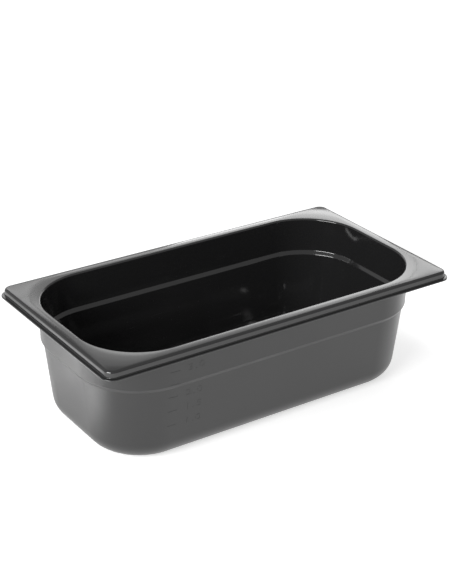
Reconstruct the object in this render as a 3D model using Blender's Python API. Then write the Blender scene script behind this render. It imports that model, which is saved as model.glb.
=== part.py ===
"""Food pan of one-third gastronorm size, 100 mm deep, moulded in one piece.

World frame: metres, +Z up. The origin is the centre of the underside, on the surface
that the pan stands on. X runs along the long sides, Y along the short sides.

The pan is one shell of even thickness. Its section is drawn once, as a walk from the
underside, up the outer wall, round the stepped rim and down the inner wall to the
floor. The underside is filled first, and its edge is then extruded along the walk,
one level ring after another, each ring a rectangle with round corners.
"""

import math

import bmesh
import bpy
from mathutils import Vector

MM = 0.001

# Overall sizes
RIM_LENGTH = 325 * MM
RIM_WIDTH = 176 * MM
PAN_HEIGHT = 100 * MM
WALL = 2.5 * MM

# Corner radii in plan, both measured where the corner would reach the rim's outer edge
RIM_CORNER = 10 * MM
BOWL_CORNER = 64 * MM

# Rim: a raised flat band with an outer lip one step lower. Insets are measured
# inwards from the lip's outer edge, drops are measured down from the rim's top.
STEP_INSET = 2.6 * MM
STEP_DROP = 5.65 * MM
SKIRT_DROP = 6.85 * MM
TOP_EDGE_RADIUS = 2.2 * MM
LIP_RADIUS = 0.6 * MM
SKIRT_RADIUS = 0.25 * MM
STEP_RADIUS = 0.4 * MM
OPENING_RADIUS = 1.5 * MM
RIM_ROOT_RADIUS = 1.0 * MM

# Outer wall: a stacking band, a sloping shoulder and a tapered lower wall
BAND_TOP_INSET = 10.0 * MM
BAND_FOOT_INSET = 10.75 * MM
BAND_FOOT_DROP = 32.0 * MM
SHOULDER_INSET = 12.9 * MM
SHOULDER_DROP = 35.3 * MM
BASE_INSET = 20.0 * MM

# The inner wall's shoulder lies this much nearer to the rim than the outer one
INNER_SHOULDER_RISE = 1.4 * MM

# Roundings of both shoulders and of the outer edge of the underside
SHOULDER_RADIUS = 0.8 * MM
INNER_SHOULDER_RADIUS = 2.0 * MM
BASE_RADIUS = 18.3 * MM

# Facets
CORNER_STEPS = 12
BASE_STEPS = 7
EDGE_STEPS = 3
SMALL_STEPS = 2
SHARP_ANGLE = math.radians(35)

PLASTIC_COLOR = (0.022, 0.022, 0.023, 1.0)
PLASTIC_ROUGHNESS = 0.32


def clear_scene():
    """Remove every object that the file opened with."""
    for thing in list(bpy.data.objects):
        bpy.data.objects.remove(thing, do_unlink=True)


def offset_corner(before, corner, after, distance):
    """Move a corner so that both of its sides shift by distance, to the walk's right."""
    into = (corner - before).normalized()
    out_of = (after - corner).normalized()
    normal = Vector((into.y, -into.x))
    next_normal = Vector((out_of.y, -out_of.x))
    bisector = (normal + next_normal).normalized()
    return corner + bisector * (distance / bisector.dot(normal))


def round_corner(before, corner, after, radius, steps):
    """Points of the arc that rounds off one corner of the section."""
    to_before = (before - corner).normalized()
    to_after = (after - corner).normalized()
    half_angle = to_before.angle(to_after) / 2
    reach = radius / math.tan(half_angle)
    bisector = (to_before + to_after).normalized()
    centre = corner + bisector * (radius / math.sin(half_angle))
    start = corner + to_before * reach - centre
    turn = (corner + to_after * reach - centre).angle_signed(start)
    points = []
    for step in range(steps + 1):
        angle = turn * step / steps
        cos, sin = math.cos(angle), math.sin(angle)
        spoke = Vector((start.x * cos - start.y * sin, start.x * sin + start.y * cos))
        points.append(centre + spoke)
    return points


def outer_wall():
    """Corners of the outer wall, from the underside up, as (inset, height)."""
    return [
        Vector((BASE_INSET, 0)),
        Vector((SHOULDER_INSET, PAN_HEIGHT - SHOULDER_DROP)),
        Vector((BAND_FOOT_INSET, PAN_HEIGHT - BAND_FOOT_DROP)),
        Vector((BAND_TOP_INSET, PAN_HEIGHT)),
    ]


def inner_wall():
    """Corners of the inner wall, from the top down: the outer wall moved in by WALL."""
    wall = outer_wall()
    past_top = wall[-1] * 2 - wall[-2]
    walk = [Vector((RIM_WIDTH / 2, 0))] + wall + [past_top]
    inner = []
    for before, corner, after in zip(walk, walk[1:], walk[2:]):
        inner.append(offset_corner(before, corner, after, WALL))
    inner[1].y += INNER_SHOULDER_RISE
    inner[2].y += INNER_SHOULDER_RISE
    return inner[::-1]


def section():
    """The whole section as (inset, height, corner radius at the rim's edge)."""
    base, shoulder, band_foot, band_top = outer_wall()
    rim_back = PAN_HEIGHT - WALL
    skirt_foot = PAN_HEIGHT - SKIRT_DROP
    step = PAN_HEIGHT - STEP_DROP
    skirt_inset = STEP_INSET + WALL
    in_top, in_band_foot, in_shoulder, in_base = inner_wall()
    lean = (band_foot.x - band_top.x) / (band_top.y - band_foot.y)
    root = Vector((band_top.x + lean * WALL, rim_back))
    mouth = Vector((in_top.x, PAN_HEIGHT))
    middle = RIM_WIDTH / 2

    # Each entry: corner of the section, rounding radius, steps, plan corner radius
    corners = [
        (base, BASE_RADIUS, BASE_STEPS, BOWL_CORNER),
        (shoulder, SHOULDER_RADIUS, SMALL_STEPS, BOWL_CORNER),
        (band_foot, SHOULDER_RADIUS, SMALL_STEPS, BOWL_CORNER),
        (root, RIM_ROOT_RADIUS, SMALL_STEPS, BOWL_CORNER),
        (Vector((skirt_inset, rim_back)), SKIRT_RADIUS, SMALL_STEPS, RIM_CORNER),
        (Vector((skirt_inset, skirt_foot)), SKIRT_RADIUS, SMALL_STEPS, RIM_CORNER),
        (Vector((0, skirt_foot)), SKIRT_RADIUS, SMALL_STEPS, RIM_CORNER),
        (Vector((0, step)), LIP_RADIUS, EDGE_STEPS, RIM_CORNER),
        (Vector((STEP_INSET, step)), STEP_RADIUS, SMALL_STEPS, RIM_CORNER),
        (Vector((STEP_INSET, PAN_HEIGHT)), TOP_EDGE_RADIUS, EDGE_STEPS + 1, RIM_CORNER),
        (mouth, OPENING_RADIUS, EDGE_STEPS + 1, BOWL_CORNER),
        (in_band_foot, INNER_SHOULDER_RADIUS, SMALL_STEPS, BOWL_CORNER),
        (in_shoulder, INNER_SHOULDER_RADIUS, SMALL_STEPS, BOWL_CORNER),
        (in_base, BASE_RADIUS - WALL, BASE_STEPS, BOWL_CORNER),
    ]
    spots = [Vector((middle, 0))] + [entry[0] for entry in corners] + [Vector((middle, WALL))]
    points = []
    for index, (corner, radius, steps, plan_corner) in enumerate(corners):
        arc = round_corner(spots[index], corner, spots[index + 2], radius, steps)
        points += [(point.x, point.y, plan_corner) for point in arc]
    return points


def ring_points(inset, height, plan_corner):
    """Points of one level ring: a rectangle with round corners."""
    radius = plan_corner - inset
    reach_x = RIM_LENGTH / 2 - inset - radius
    reach_y = RIM_WIDTH / 2 - inset - radius
    points = []
    for quarter in range(4):
        centre_x = reach_x if quarter in (0, 3) else -reach_x
        centre_y = reach_y if quarter in (0, 1) else -reach_y
        for step in range(CORNER_STEPS + 1):
            angle = math.radians(90) * (quarter + step / CORNER_STEPS)
            x = centre_x + radius * math.cos(angle)
            y = centre_y + radius * math.sin(angle)
            points.append(Vector((x, y, height)))
    return points


def extrude_ring(mesh, ring, points):
    """Extrude a ring of vertices and move the new ring to the points."""
    edges = [mesh.edges.get((vert, ring[index - 1])) for index, vert in enumerate(ring)]
    made = bmesh.ops.extrude_edge_only(mesh, edges=edges)["geom"]
    fresh = {item for item in made if isinstance(item, bmesh.types.BMVert)}
    new_ring = []
    for vert, point in zip(ring, points):
        new_vert = next(e.other_vert(vert) for e in vert.link_edges if e.other_vert(vert) in fresh)
        new_vert.co = point
        new_ring.append(new_vert)
    return new_ring


def plastic():
    """Black polycarbonate."""
    material = bpy.data.materials.new("black_plastic")
    material.use_nodes = True
    shader = material.node_tree.nodes["Principled BSDF"]
    shader.inputs["Base Color"].default_value = PLASTIC_COLOR
    shader.inputs["Roughness"].default_value = PLASTIC_ROUGHNESS
    shader.inputs["Metallic"].default_value = 0.0
    material.diffuse_color = PLASTIC_COLOR
    return material


def make_pan():
    """Extrude the underside's edge along the section, and fill the floor at its end."""
    mesh = bmesh.new()
    rings = [ring_points(*point) for point in section()]
    ring = [mesh.verts.new(point) for point in rings[0]]
    mesh.faces.new(ring)
    for points in rings[1:]:
        ring = extrude_ring(mesh, ring, points)
    mesh.faces.new(ring)
    bmesh.ops.recalc_face_normals(mesh, faces=mesh.faces)
    data = bpy.data.meshes.new("pan")
    mesh.to_mesh(data)
    mesh.free()
    data.materials.append(plastic())
    data.shade_smooth()
    data.set_sharp_from_angle(angle=SHARP_ANGLE)
    pan = bpy.data.objects.new("pan", data)
    bpy.context.scene.collection.objects.link(pan)


clear_scene()
make_pan()
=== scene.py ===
"""Food pan, one-third gastronorm size: the visual model, its plastic, and the studio."""

import math

import bmesh
import bpy
from mathutils import Matrix, Vector


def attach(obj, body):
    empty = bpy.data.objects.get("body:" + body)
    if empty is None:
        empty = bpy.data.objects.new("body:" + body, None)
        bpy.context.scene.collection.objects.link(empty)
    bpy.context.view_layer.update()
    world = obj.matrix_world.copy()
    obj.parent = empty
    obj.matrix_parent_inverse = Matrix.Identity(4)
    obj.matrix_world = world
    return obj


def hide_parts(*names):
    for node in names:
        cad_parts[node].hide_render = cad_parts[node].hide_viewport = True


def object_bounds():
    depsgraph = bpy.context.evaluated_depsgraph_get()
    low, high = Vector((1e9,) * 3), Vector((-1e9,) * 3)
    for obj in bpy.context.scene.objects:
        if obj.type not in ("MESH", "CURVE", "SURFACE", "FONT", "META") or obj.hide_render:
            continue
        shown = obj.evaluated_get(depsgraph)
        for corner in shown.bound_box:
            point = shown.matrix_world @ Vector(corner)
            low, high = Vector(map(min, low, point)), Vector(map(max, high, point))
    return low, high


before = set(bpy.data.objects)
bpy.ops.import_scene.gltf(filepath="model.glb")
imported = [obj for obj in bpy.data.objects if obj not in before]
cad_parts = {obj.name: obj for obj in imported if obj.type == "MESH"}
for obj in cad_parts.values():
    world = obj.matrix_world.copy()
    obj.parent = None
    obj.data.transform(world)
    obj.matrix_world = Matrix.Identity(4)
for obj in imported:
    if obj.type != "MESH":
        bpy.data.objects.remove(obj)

cad_low, cad_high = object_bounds()

MM = 0.001

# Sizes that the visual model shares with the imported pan. Insets are measured inwards
# from the rim's outer edge, drops down from the rim's top, and corner radii where the
# corner would reach the rim's outer edge.
RIM_LENGTH = cad_high.x - cad_low.x
RIM_WIDTH = cad_high.y - cad_low.y
PAN_HEIGHT = cad_high.z - cad_low.z
WALL = 2.5 * MM
RIM_CORNER = 10 * MM
BOWL_CORNER = 64 * MM
STEP_INSET = 2.6 * MM
STEP_DROP = 5.65 * MM
SKIRT_DROP = 6.85 * MM
TOP_EDGE_RADIUS = 2.2 * MM
LIP_RADIUS = 0.6 * MM
SKIRT_RADIUS = 0.25 * MM
STEP_RADIUS = 0.4 * MM
OPENING_RADIUS = 1.5 * MM
RIM_ROOT_RADIUS = 1.0 * MM
BAND_TOP_INSET = 10.0 * MM
BAND_FOOT_INSET = 10.75 * MM
BAND_FOOT_DROP = 32.0 * MM
SHOULDER_INSET = 12.9 * MM
SHOULDER_DROP = 35.3 * MM
INNER_SHOULDER_RISE = 1.4 * MM
BASE_INSET = 20.0 * MM
SHOULDER_RADIUS = 0.8 * MM
INNER_SHOULDER_RADIUS = 2.0 * MM
BASE_RADIUS = 18.3 * MM

# Underside: a shallow panel inside the foot, and the sunk mark of the moulding gate
PANEL_INSET = 45 * MM
PANEL_DEPTH = 0.5 * MM
PANEL_SLOPE = 0.7 * MM
GATE_RADIUS = 9 * MM
GATE_DEPTH = 0.5 * MM
NUB_RADIUS = 2.2 * MM
NUB_HEIGHT = 0.6 * MM

# Litre scale on one long wall: the height of each tick. The plain one is for 2.5 litres.
# The pan holds each volume at its tick, except that it holds 3 litres 1 mm higher.
LITRE_MARKS = {"1.0": 30.7 * MM, "1.5": 43.8 * MM, "2.0": 56.5 * MM, "3.0": 79.6 * MM}
PLAIN_MARK = 68.9 * MM
MARK_STAND = 0.12 * MM
MARK_SINK = 0.1 * MM
TICK_LENGTH = 8 * MM
TICK_HEIGHT = 0.9 * MM
TICK_STEPS = 12
TICK_START = -4.5 * MM
DIGITS_START = 10.5 * MM
DIGIT_SIZE = 7.8 * MM
DIGIT_WIDTH = 1.4
DIGIT_SPACING = 1.2

# Fineness of the visual mesh
CORNER_STEPS = 40
BASE_STEPS = 20
EDGE_STEPS = 8
SMALL_STEPS = 4
DIGIT_STEPS = 6
WELD_DISTANCE = 0.001 * MM
SHARP_ANGLE = math.radians(30)

# Places of the two finishes in the pan's list of materials
SATIN, GLOSS = 0, 1

# The plastic: its colours where plain and where marked, its range of roughness, and how
# much rougher it is where marked
PLASTIC_IOR = 1.65
SATIN_PLAIN = (0.008, 0.008, 0.0082)
SATIN_MARKED = (0.018, 0.018, 0.018)
SATIN_ROUGHNESS = (0.30, 0.36)
GLOSS_PLAIN = (0.015, 0.015, 0.0153)
GLOSS_MARKED = (0.027, 0.027, 0.027)
GLOSS_ROUGHNESS = (0.08, 0.11)
MARKED_ROUGHNESS = 0.12
SCUFF_HEIGHT = 4 * MM

# Camera: it looks at a point a little off the middle of the rim's top
CAMERA_AZIMUTH = -34.27
CAMERA_ELEVATION = 25.55
CAMERA_ROLL = 0.57
CAMERA_DISTANCE = 1.1664
CAMERA_SIDESTEP = -0.00176
CAMERA_RISE = -0.01071
CAMERA_LENS = 89.22
CAMERA_SENSOR = 36

# Studio: the floor and the room glow evenly, and the floor lies a hair below the pan
FLOOR_SIZE = 12.0
FLOOR_GAP = 0.05 * MM
FLOOR_WHITE = 0.8
FLOOR_ROUGHNESS = 0.8
FLOOR_GLOW = 0.59
ROOM_GLOW = 0.42

# Soft lamps aimed at the pan: name, azimuth, elevation, distance, width, height, radiance
PAN_MIDDLE = (0, 0, 0.08)
LAMPS = [
    ("side_lamp", -73, 24, 1.5, 1.0, 0.6, 11.0),
    ("low_back", -150, 15, 2.0, 1.2, 1.0, 0.15),
]

# Narrow lights that brighten the floor beside the pan: name, x, y, cone angle, power
POOL_HEIGHT = 1.3
POOL_BLEND = 0.9
POOL_SOFTNESS = 0.02
FLOOR_POOLS = [
    ("left_pool_front", -0.222, 0.00, 5.0, 170),
    ("left_pool_middle", -0.222, 0.08, 5.0, 110),
    ("left_pool_back", -0.27, 0.16, 8.0, 50),
    ("right_pool", 0.29, 0.00, 10.0, 40),
]

# A wall of panels stands far behind the pan. Each column has its azimuth, its width, and
# a radiance for each elevation.
RIM_MIDDLE = (0, 0, 0.09)
PANEL_DISTANCE = 2.0
PANEL_HEIGHT = 0.14
WALL_PANELS = [
    (122, 0.84, {23: 2.9, 27: 1.6}),
    (138, 0.28, {20: 3.7, 24: 2.8, 28: 1.5, 32: 0.6}),
    (146, 0.28, {20: 4.6, 24: 2.2, 28: 0.9, 32: 0.5}),
    (154, 0.28, {20: 0.5, 24: 1.7, 28: 0.6, 32: 0.4}),
    (170, 0.84, {23: 1.2, 27: 1.7}),
]


# ---------------------------------------------------------------- mesh of the pan


def offset_corner(before, corner, after, distance):
    """Move a corner so that both of its sides shift by distance, to the walk's right."""
    into = (corner - before).normalized()
    out_of = (after - corner).normalized()
    normal = Vector((into.y, -into.x))
    next_normal = Vector((out_of.y, -out_of.x))
    bisector = (normal + next_normal).normalized()
    return corner + bisector * (distance / bisector.dot(normal))


def round_corner(before, corner, after, radius, steps):
    """Points of the arc that rounds off one corner of the section."""
    to_before = (before - corner).normalized()
    to_after = (after - corner).normalized()
    half_angle = to_before.angle(to_after) / 2
    reach = radius / math.tan(half_angle)
    bisector = (to_before + to_after).normalized()
    centre = corner + bisector * (radius / math.sin(half_angle))
    start = corner + to_before * reach - centre
    turn = (corner + to_after * reach - centre).angle_signed(start)
    points = []
    for step in range(steps + 1):
        angle = turn * step / steps
        cos, sin = math.cos(angle), math.sin(angle)
        spoke = Vector((start.x * cos - start.y * sin, start.x * sin + start.y * cos))
        points.append(centre + spoke)
    return points


def outer_wall():
    """Corners of the outer wall, from the underside up, as (inset, height)."""
    return [
        Vector((BASE_INSET, 0)),
        Vector((SHOULDER_INSET, PAN_HEIGHT - SHOULDER_DROP)),
        Vector((BAND_FOOT_INSET, PAN_HEIGHT - BAND_FOOT_DROP)),
        Vector((BAND_TOP_INSET, PAN_HEIGHT)),
    ]


def inner_wall():
    """Corners of the inner wall, from the top down: the outer wall moved in by WALL."""
    wall = outer_wall()
    past_top = wall[-1] * 2 - wall[-2]
    walk = [Vector((RIM_WIDTH / 2, 0))] + wall + [past_top]
    inner = []
    for before, corner, after in zip(walk, walk[1:], walk[2:]):
        inner.append(offset_corner(before, corner, after, WALL))
    inner[1].y += INNER_SHOULDER_RISE
    inner[2].y += INNER_SHOULDER_RISE
    return inner[::-1]


def section():
    """The section as (inset, height, corner radius at the rim's edge, finish from there)."""
    base, shoulder, band_foot, band_top = outer_wall()
    rim_back = PAN_HEIGHT - WALL
    skirt_foot = PAN_HEIGHT - SKIRT_DROP
    step = PAN_HEIGHT - STEP_DROP
    skirt_inset = STEP_INSET + WALL
    in_top, in_band_foot, in_shoulder, in_base = inner_wall()
    lean = (band_foot.x - band_top.x) / (band_top.y - band_foot.y)
    root = Vector((band_top.x + lean * WALL, rim_back))
    mouth = Vector((in_top.x, PAN_HEIGHT))
    middle = RIM_WIDTH / 2

    # Each entry: corner of the section, rounding radius, steps, plan corner radius, finish
    corners = [
        (base, BASE_RADIUS, BASE_STEPS, BOWL_CORNER, SATIN),
        (shoulder, SHOULDER_RADIUS, SMALL_STEPS, BOWL_CORNER, SATIN),
        (band_foot, SHOULDER_RADIUS, SMALL_STEPS, BOWL_CORNER, SATIN),
        (root, RIM_ROOT_RADIUS, SMALL_STEPS, BOWL_CORNER, SATIN),
        (Vector((skirt_inset, rim_back)), SKIRT_RADIUS, SMALL_STEPS, RIM_CORNER, SATIN),
        (Vector((skirt_inset, skirt_foot)), SKIRT_RADIUS, SMALL_STEPS, RIM_CORNER, SATIN),
        (Vector((0, skirt_foot)), SKIRT_RADIUS, SMALL_STEPS, RIM_CORNER, GLOSS),
        (Vector((0, step)), LIP_RADIUS, EDGE_STEPS, RIM_CORNER, GLOSS),
        (Vector((STEP_INSET, step)), STEP_RADIUS, SMALL_STEPS, RIM_CORNER, GLOSS),
        (Vector((STEP_INSET, PAN_HEIGHT)), TOP_EDGE_RADIUS, EDGE_STEPS, RIM_CORNER, GLOSS),
        (mouth, OPENING_RADIUS, EDGE_STEPS, BOWL_CORNER, GLOSS),
        (in_band_foot, INNER_SHOULDER_RADIUS, EDGE_STEPS, BOWL_CORNER, GLOSS),
        (in_shoulder, INNER_SHOULDER_RADIUS, EDGE_STEPS, BOWL_CORNER, GLOSS),
        (in_base, BASE_RADIUS - WALL, BASE_STEPS, BOWL_CORNER, GLOSS),
    ]
    spots = [Vector((middle, 0))] + [entry[0] for entry in corners] + [Vector((middle, WALL))]
    points = []
    for index, (corner, radius, steps, plan_corner, finish) in enumerate(corners):
        arc = round_corner(spots[index], corner, spots[index + 2], radius, steps)
        points += [(point.x, point.y, plan_corner, finish) for point in arc]
    return points


def ring_points(inset, height, plan_corner):
    """Points of one level ring: a rectangle with round corners."""
    radius = plan_corner - inset
    reach_x = RIM_LENGTH / 2 - inset - radius
    reach_y = RIM_WIDTH / 2 - inset - radius
    points = []
    for quarter in range(4):
        centre_x = reach_x if quarter in (0, 3) else -reach_x
        centre_y = reach_y if quarter in (0, 1) else -reach_y
        for step in range(CORNER_STEPS + 1):
            angle = math.radians(90) * (quarter + step / CORNER_STEPS)
            x = centre_x + radius * math.cos(angle)
            y = centre_y + radius * math.sin(angle)
            points.append(Vector((x, y, height)))
    return points


def circle_points(radius, height):
    """Points of a level circle, as many as a level ring has."""
    count = 4 * (CORNER_STEPS + 1)
    points = []
    for index in range(count):
        angle = math.radians(360) * (index + 0.5) / count
        points.append(Vector((radius * math.cos(angle), radius * math.sin(angle), height)))
    return points


def underside_rings():
    """Rings of the underside, from the foot in to the nub of the gate mark."""
    gate_top = PANEL_DEPTH + GATE_DEPTH
    return [
        ring_points(PANEL_INSET, 0, BOWL_CORNER),
        ring_points(PANEL_INSET + PANEL_SLOPE, PANEL_DEPTH, BOWL_CORNER),
        circle_points(GATE_RADIUS, PANEL_DEPTH),
        circle_points(GATE_RADIUS - GATE_DEPTH / 2, gate_top),
        circle_points(NUB_RADIUS, gate_top),
        circle_points(NUB_RADIUS - NUB_HEIGHT / 3, gate_top - NUB_HEIGHT),
    ]


def add_band(mesh, ring, next_ring, finish):
    """Join two rings of vertices with a band of faces."""
    for index, vert in enumerate(ring):
        after = (index + 1) % len(ring)
        face = mesh.faces.new((vert, next_ring[index], next_ring[after], ring[after]))
        face.material_index = finish


def make_pan():
    """The pan as one fine closed shell, glossy on the rim and inside, satin elsewhere."""
    mesh = bmesh.new()
    rings = []
    finishes = []
    for inset, height, plan_corner, finish in section():
        points = ring_points(inset, height, plan_corner)
        rings.append([mesh.verts.new(point) for point in points])
        finishes.append(finish)
    for ring, next_ring, finish in zip(rings, rings[1:], finishes):
        add_band(mesh, ring, next_ring, finish)
    below = rings[0]
    for points in underside_rings():
        ring = [mesh.verts.new(point) for point in points]
        add_band(mesh, below, ring, SATIN)
        below = ring
    mesh.faces.new(below[::-1]).material_index = SATIN
    mesh.faces.new(rings[-1]).material_index = GLOSS
    bmesh.ops.recalc_face_normals(mesh, faces=mesh.faces)
    data = bpy.data.meshes.new("pan_shell")
    mesh.to_mesh(data)
    mesh.free()
    data.shade_smooth()
    data.set_sharp_from_angle(angle=SHARP_ANGLE)
    pan = bpy.data.objects.new("pan_shell", data)
    bpy.context.scene.collection.objects.link(pan)
    return pan


# ---------------------------------------------------------------- litre scale


def wall_at(height):
    """Inset of the outer wall at a height, and how far the wall leans there."""
    corners = outer_wall()
    for lower, upper in zip(corners, corners[1:]):
        if height <= upper.y:
            break
    share = (height - lower.y) / (upper.y - lower.y)
    lean = math.atan2(lower.x - upper.x, upper.y - lower.y)
    return lower.x + (upper.x - lower.x) * share, lean


def wall_spot(along, height, stand):
    """A point that stands proud of the long wall, along from where the corner ends.

    Where along is negative, the point lies that far round the corner instead.
    """
    inset, lean = wall_at(height)
    radius = BOWL_CORNER - inset
    turn = min(along, 0) / radius
    centre = Vector((BOWL_CORNER - RIM_LENGTH / 2, BOWL_CORNER - RIM_WIDTH / 2))
    reach = radius + stand * math.cos(lean)
    x = centre.x + max(along, 0) + reach * math.sin(turn)
    y = centre.y - reach * math.cos(turn)
    return Vector((x, y, height - stand * math.sin(lean)))


def add_tick(mesh, height):
    """One raised level bar with sloping sides, bent round the corner where it reaches it."""
    low, high = height - TICK_HEIGHT / 2, height + TICK_HEIGHT / 2
    outer_low = low + TICK_HEIGHT / 3
    outer_high = high - TICK_HEIGHT / 3
    rows = []
    for step in range(TICK_STEPS + 1):
        along = TICK_START + TICK_LENGTH * step / TICK_STEPS
        corners = [
            wall_spot(along, low, -MARK_SINK),
            wall_spot(along, outer_low, MARK_STAND),
            wall_spot(along, outer_high, MARK_STAND),
            wall_spot(along, high, -MARK_SINK),
        ]
        rows.append([mesh.verts.new(corner) for corner in corners])
    for row, after in zip(rows, rows[1:]):
        for index in range(len(row)):
            other = (index + 1) % len(row)
            mesh.faces.new((row[index], row[other], after[other], after[index]))
    mesh.faces.new(rows[0])
    mesh.faces.new(rows[-1][::-1])


def add_digits(mesh, text, height):
    """Raised digits beside a tick, lying on the wall."""
    font = bpy.data.curves.new("digits", "FONT")
    font.body = text
    font.size = DIGIT_SIZE
    font.space_character = DIGIT_SPACING
    font.align_y = "CENTER"
    font.extrude = (MARK_STAND + MARK_SINK) / 2
    font.resolution_u = DIGIT_STEPS
    label = bpy.data.objects.new("digits", font)
    bpy.context.scene.collection.objects.link(label)
    shape = label.evaluated_get(bpy.context.evaluated_depsgraph_get()).to_mesh()
    lean = wall_at(height)[1]
    stand = (MARK_STAND - MARK_SINK) / 2
    turn = Matrix.Rotation(math.radians(90) + lean, 4, "X")
    widen = Matrix.Diagonal((DIGIT_WIDTH, 1, 1, 1))
    place = Matrix.Translation(wall_spot(DIGITS_START, height, stand)) @ turn @ widen
    shape.transform(place)
    mesh.from_mesh(shape)
    bpy.data.objects.remove(label)
    bpy.data.curves.remove(font)


def make_scale():
    """The raised litre scale: a tick for each volume, and digits beside most of them."""
    mesh = bmesh.new()
    for text, height in LITRE_MARKS.items():
        add_tick(mesh, height)
        add_digits(mesh, text, height)
    add_tick(mesh, PLAIN_MARK)
    bmesh.ops.remove_doubles(mesh, verts=mesh.verts, dist=WELD_DISTANCE)
    bmesh.ops.recalc_face_normals(mesh, faces=mesh.faces)
    data = bpy.data.meshes.new("volume_scale")
    mesh.to_mesh(data)
    mesh.free()
    scale = bpy.data.objects.new("volume_scale", data)
    bpy.context.scene.collection.objects.link(scale)
    return scale


# ---------------------------------------------------------------- materials


def principled(name):
    """A new Principled material, and its shader."""
    material = bpy.data.materials.new(name)
    material.use_nodes = True
    return material, material.node_tree.nodes["Principled BSDF"]


def noise(tree, scale, detail, squeeze=(1, 1, 1)):
    """Noise in the object's own space, squeezed by a factor along each axis."""
    spot = tree.nodes.new("ShaderNodeTexCoord").outputs["Object"]
    mapping = tree.nodes.new("ShaderNodeMapping")
    mapping.inputs["Scale"].default_value = squeeze
    tree.links.new(spot, mapping.inputs["Vector"])
    pattern = tree.nodes.new("ShaderNodeTexNoise")
    pattern.inputs["Scale"].default_value = scale
    pattern.inputs["Detail"].default_value = detail
    tree.links.new(mapping.outputs["Vector"], pattern.inputs["Vector"])
    return pattern.outputs["Fac"]


def height_of(tree):
    """Height of the shaded spot above the underside."""
    spot = tree.nodes.new("ShaderNodeTexCoord").outputs["Object"]
    split = tree.nodes.new("ShaderNodeSeparateXYZ")
    tree.links.new(spot, split.inputs["Vector"])
    return split.outputs["Z"]


def remap(tree, value, low, high, target=(0, 1)):
    """Take value smoothly from the range low to high to the target range, clamped to it."""
    node = tree.nodes.new("ShaderNodeMapRange")
    node.interpolation_type = "SMOOTHSTEP"
    tree.links.new(value, node.inputs["Value"])
    node.inputs["From Min"].default_value = low
    node.inputs["From Max"].default_value = high
    node.inputs["To Min"].default_value = target[0]
    node.inputs["To Max"].default_value = target[1]
    return node.outputs["Result"]


def combine(tree, operation, first, second):
    """One math step on two values."""
    node = tree.nodes.new("ShaderNodeMath")
    node.operation = operation
    tree.links.new(first, node.inputs[0])
    tree.links.new(second, node.inputs[1])
    return node.outputs["Value"]


def tint(tree, factor, plain, marked):
    """A colour that goes from plain to marked as factor goes from 0 to 1."""
    node = tree.nodes.new("ShaderNodeMix")
    node.data_type = "RGBA"
    tree.links.new(factor, node.inputs["Factor"])
    node.inputs["A"].default_value = (*plain, 1)
    node.inputs["B"].default_value = (*marked, 1)
    return node.outputs["Result"]


def add_relief(tree, shader, layers):
    """Give the surface layers of relief, each as (pattern, depth, strength)."""
    normal = None
    for pattern, depth, strength in layers:
        node = tree.nodes.new("ShaderNodeBump")
        node.inputs["Distance"].default_value = depth
        node.inputs["Strength"].default_value = strength
        tree.links.new(pattern, node.inputs["Height"])
        if normal:
            tree.links.new(normal, node.inputs["Normal"])
        normal = node.outputs["Normal"]
    tree.links.new(normal, shader.inputs["Normal"])


def add_finish(tree, shader, cloud, roughness, marks, plain, marked):
    """Make the plastic cloudy in its sheen, and rougher and paler where it is marked."""
    sheen = remap(tree, cloud, 0.3, 0.7, roughness)
    rougher = remap(tree, marks, 0, 1, (0, MARKED_ROUGHNESS))
    tree.links.new(combine(tree, "ADD", sheen, rougher), shader.inputs["Roughness"])
    tree.links.new(tint(tree, marks, plain, marked), shader.inputs["Base Color"])
    shader.inputs["IOR"].default_value = PLASTIC_IOR


def satin_plastic():
    """Black plastic from a spark-eroded mould: fine grain, handling marks, a scuffed foot."""
    material, shader = principled("black_satin_plastic")
    tree = material.node_tree
    grain = noise(tree, scale=2300, detail=2)
    cloud = noise(tree, scale=17, detail=4)
    level_lines = noise(tree, scale=1, detail=3, squeeze=(16, 16, 1100))
    handled = noise(tree, scale=24, detail=2)
    rubs = combine(
        tree,
        "MULTIPLY",
        remap(tree, level_lines, 0.62, 0.72),
        remap(tree, handled, 0.5, 0.66),
    )
    specks = noise(tree, scale=650, detail=3)
    scuffs = combine(
        tree,
        "MULTIPLY",
        remap(tree, height_of(tree), 0, SCUFF_HEIGHT, (1, 0)),
        remap(tree, specks, 0.5, 0.62),
    )
    marks = combine(tree, "MAXIMUM", rubs, scuffs)
    add_finish(tree, shader, cloud, SATIN_ROUGHNESS, marks, SATIN_PLAIN, SATIN_MARKED)
    add_relief(tree, shader, [(grain, 0.02 * MM, 0.5), (marks, 0.01 * MM, 0.4)])
    return material


def gloss_plastic():
    """The same plastic off polished steel: a soft ripple, fine hairlines and smears."""
    material, shader = principled("black_gloss_plastic")
    tree = material.node_tree
    ripple = noise(tree, scale=120, detail=2)
    smear = noise(tree, scale=28, detail=4, squeeze=(1, 1, 0.35))
    along = noise(tree, scale=1, detail=2, squeeze=(9, 1300, 420))
    across = noise(tree, scale=1, detail=2, squeeze=(1300, 12, 420))
    hairlines = combine(
        tree,
        "MAXIMUM",
        remap(tree, along, 0.66, 0.74),
        remap(tree, across, 0.68, 0.75),
    )
    used = noise(tree, scale=20, detail=2)
    marks = combine(tree, "MULTIPLY", hairlines, remap(tree, used, 0.46, 0.62))
    add_finish(tree, shader, smear, GLOSS_ROUGHNESS, marks, GLOSS_PLAIN, GLOSS_MARKED)
    add_relief(tree, shader, [(ripple, 0.02 * MM, 0.12), (marks, 0.005 * MM, 0.3)])
    return material


# ---------------------------------------------------------------- studio


def add_light(name, kind, location, target, power):
    """A light of one kind, aimed at a target."""
    data = bpy.data.lights.new(name, kind)
    data.energy = power
    light = bpy.data.objects.new(name, data)
    light.location = location
    aim = Vector(target) - Vector(location)
    light.rotation_euler = aim.to_track_quat("-Z", "Y").to_euler()
    bpy.context.scene.collection.objects.link(light)
    return data


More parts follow.
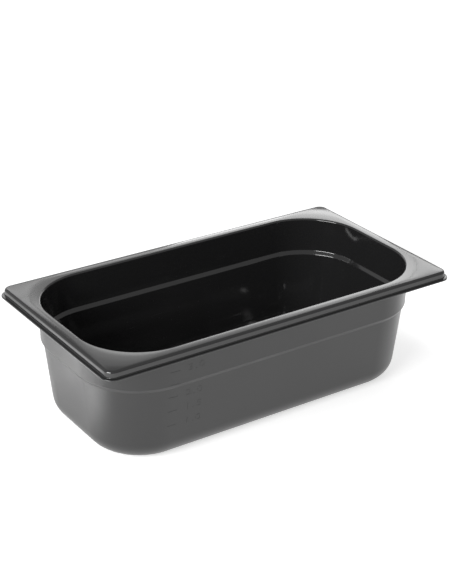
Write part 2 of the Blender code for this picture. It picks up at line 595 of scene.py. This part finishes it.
def add_area_light(name, location, target, width, height, radiance):
    """A rectangular soft light that looks as bright as its radiance."""
    data = add_light(name, "AREA", location, target, radiance * math.pi * width * height)
    data.shape = "RECTANGLE"
    data.size = width
    data.size_y = height


def pointing(azimuth, elevation):
    """The direction at an azimuth, where 0 is -Y and 90 is +X, and an elevation."""
    turn, rise = math.radians(azimuth), math.radians(elevation)
    level = math.cos(rise)
    return Vector((level * math.sin(turn), -level * math.cos(turn), math.sin(rise)))


def around(azimuth, elevation, distance, centre):
    """A spot at a distance from a centre."""
    return Vector(centre) + pointing(azimuth, elevation) * distance


def add_wall_of_light():
    """A soft wall of panels far behind the pan: it is what the flat rim mirrors."""
    for azimuth, width, glow in WALL_PANELS:
        for elevation, radiance in glow.items():
            place = around(azimuth, elevation, PANEL_DISTANCE, RIM_MIDDLE)
            breadth = width * math.cos(math.radians(elevation))
            name = f"panel_{azimuth}_{elevation}"
            add_area_light(name, place, RIM_MIDDLE, breadth, PANEL_HEIGHT, radiance)


def add_lamps():
    """The large soft lamps."""
    for name, azimuth, elevation, distance, width, height, radiance in LAMPS:
        place = around(azimuth, elevation, distance, PAN_MIDDLE)
        add_area_light(name, place, PAN_MIDDLE, width, height, radiance)


def add_floor_pools():
    """The narrow lights, each straight above its own spot on the floor."""
    for name, x, y, cone, power in FLOOR_POOLS:
        data = add_light(name, "SPOT", (x, y, POOL_HEIGHT), (x, y, 0), power)
        data.spot_size = math.radians(cone)
        data.spot_blend = POOL_BLEND
        data.shadow_soft_size = POOL_SOFTNESS


def add_floor():
    """The pale floor, which glows a little, so that it stays even round the pan."""
    data = bpy.data.meshes.new("floor")
    half = FLOOR_SIZE / 2
    corners = []
    for x, y in ((-half, -half), (half, -half), (half, half), (-half, half)):
        corners.append((x, y, -FLOOR_GAP))
    data.from_pydata(corners, [], [(0, 1, 2, 3)])
    floor = bpy.data.objects.new("floor", data)
    material, shader = principled("floor")
    shader.inputs["Base Color"].default_value = (FLOOR_WHITE, FLOOR_WHITE, FLOOR_WHITE, 1)
    shader.inputs["Roughness"].default_value = FLOOR_ROUGHNESS
    shader.inputs["Specular IOR Level"].default_value = 0.0
    shader.inputs["Emission Color"].default_value = (1, 1, 1, 1)
    shader.inputs["Emission Strength"].default_value = FLOOR_GLOW
    data.materials.append(material)
    bpy.context.scene.collection.objects.link(floor)


def add_studio():
    """The room's own glow, the floor and every light."""
    world = bpy.data.worlds.new("studio")
    world.use_nodes = True
    background = world.node_tree.nodes["Background"]
    background.inputs["Color"].default_value = (1, 1, 1, 1)
    background.inputs["Strength"].default_value = ROOM_GLOW
    bpy.context.scene.world = world
    add_floor()
    add_wall_of_light()
    add_lamps()
    add_floor_pools()


def add_camera():
    """The camera, set out by its angles from the middle of the rim's top."""
    back = pointing(CAMERA_AZIMUTH, CAMERA_ELEVATION)
    azimuth = math.radians(CAMERA_AZIMUTH)
    level = Vector((math.cos(azimuth), math.sin(azimuth), 0))
    upright = back.cross(level)
    roll = math.radians(CAMERA_ROLL)
    right = level * math.cos(roll) + upright * math.sin(roll)
    up = upright * math.cos(roll) - level * math.sin(roll)
    data = bpy.data.cameras.new("camera")
    data.lens = CAMERA_LENS
    data.sensor_width = CAMERA_SENSOR
    view = bpy.data.objects.new("camera", data)
    place = Vector((0, 0, PAN_HEIGHT)) + back * CAMERA_DISTANCE
    place += right * CAMERA_SIDESTEP + up * CAMERA_RISE
    turn = Matrix((right, up, back)).transposed()
    view.matrix_world = Matrix.Translation(place) @ turn.to_4x4()
    bpy.context.scene.collection.objects.link(view)
    bpy.context.scene.camera = view


bpy.context.scene.view_settings.view_transform = "Standard"

add_camera()
add_studio()
satin = satin_plastic()
pan = make_pan()
pan.data.materials.append(satin)
pan.data.materials.append(gloss_plastic())
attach(pan, "root")
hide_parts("pan")
scale = make_scale()
scale.data.materials.append(satin)
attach(scale, "root")
